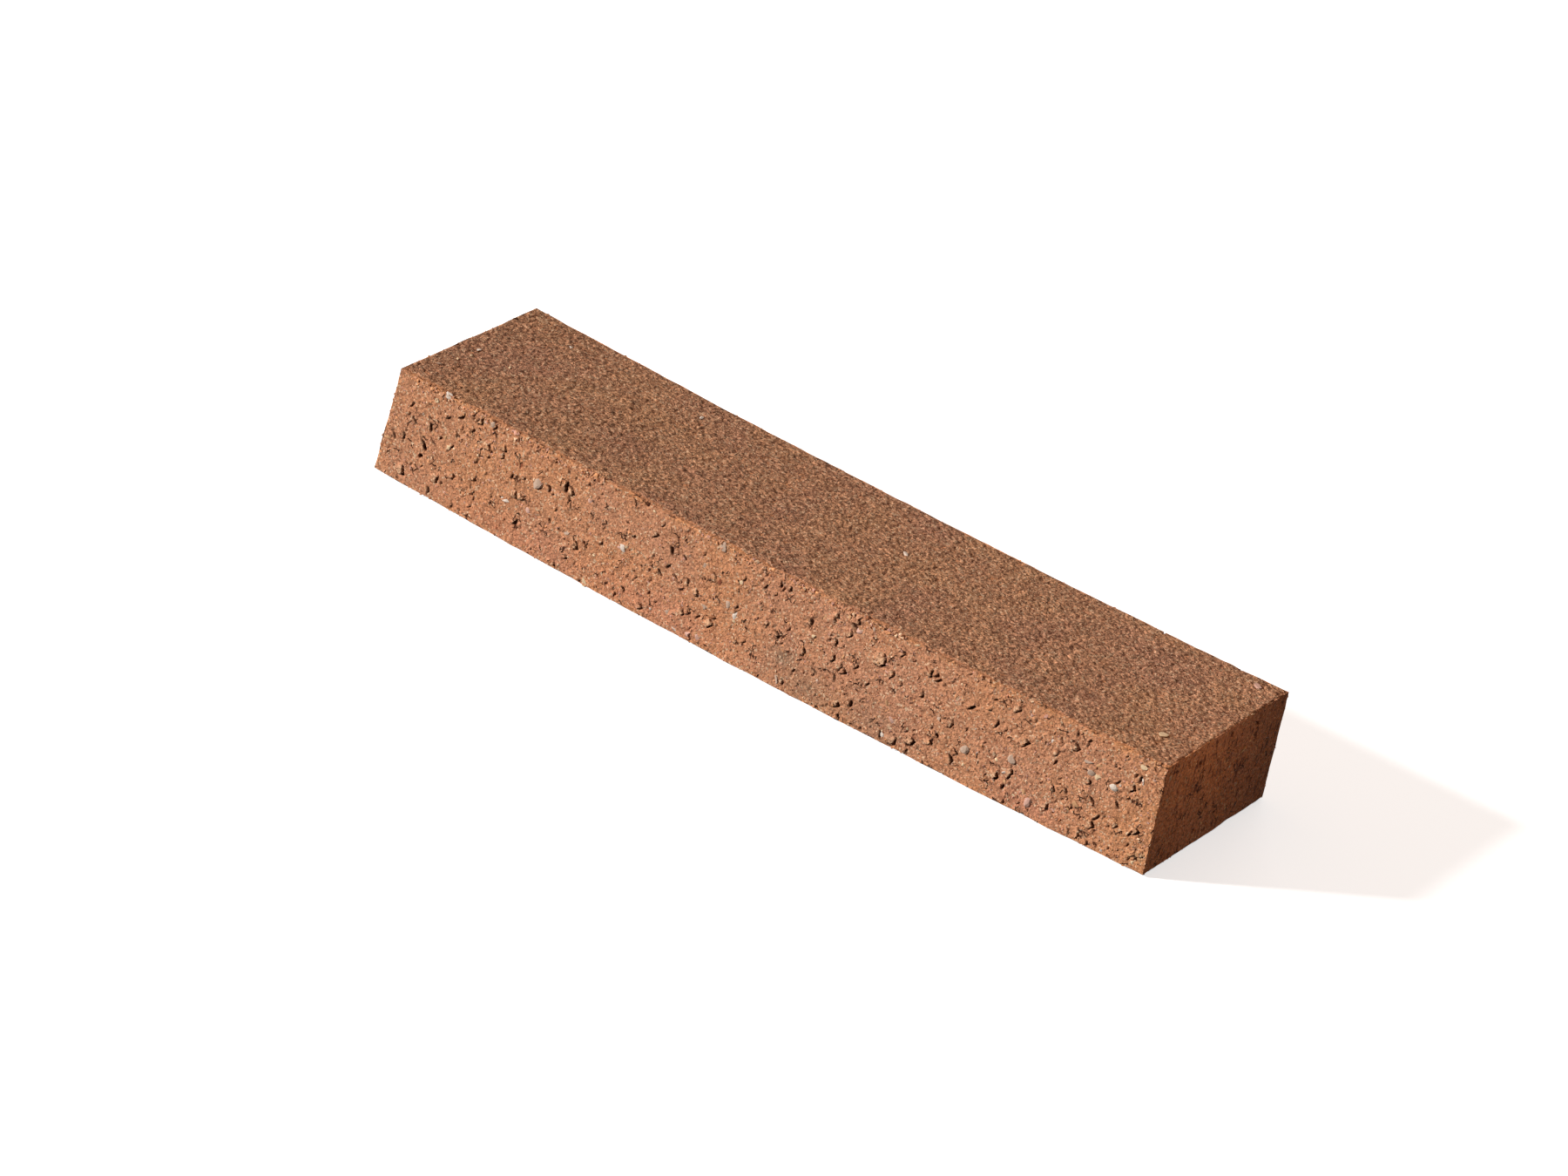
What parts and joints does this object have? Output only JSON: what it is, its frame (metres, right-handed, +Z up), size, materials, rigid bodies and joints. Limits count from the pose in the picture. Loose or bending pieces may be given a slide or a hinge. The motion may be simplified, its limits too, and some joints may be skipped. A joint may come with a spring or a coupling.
{
  "type": "fire brick",
  "caption": "Slim rectangular fire brick of coarse fired clay, bowed a little along its length, with flat beds, ends that lean in a little towards the top and rubbed edges, for hearths, ovens and chimneys.",
  "frame": {"origin": "on the lower bed, under the middle of the brick's bounding box", "axes": "+X along the length, +Y across from the long side that bows out towards the one that bows in, +Z up through the thickness"},
  "size_m": [0.23, 0.0629, 0.03],
  "materials": {
    "fired_clay": "matte"
  },
  "bodies": {
    "root": {"fire_brick": "fired_clay"}
  },
  "joints": []
}
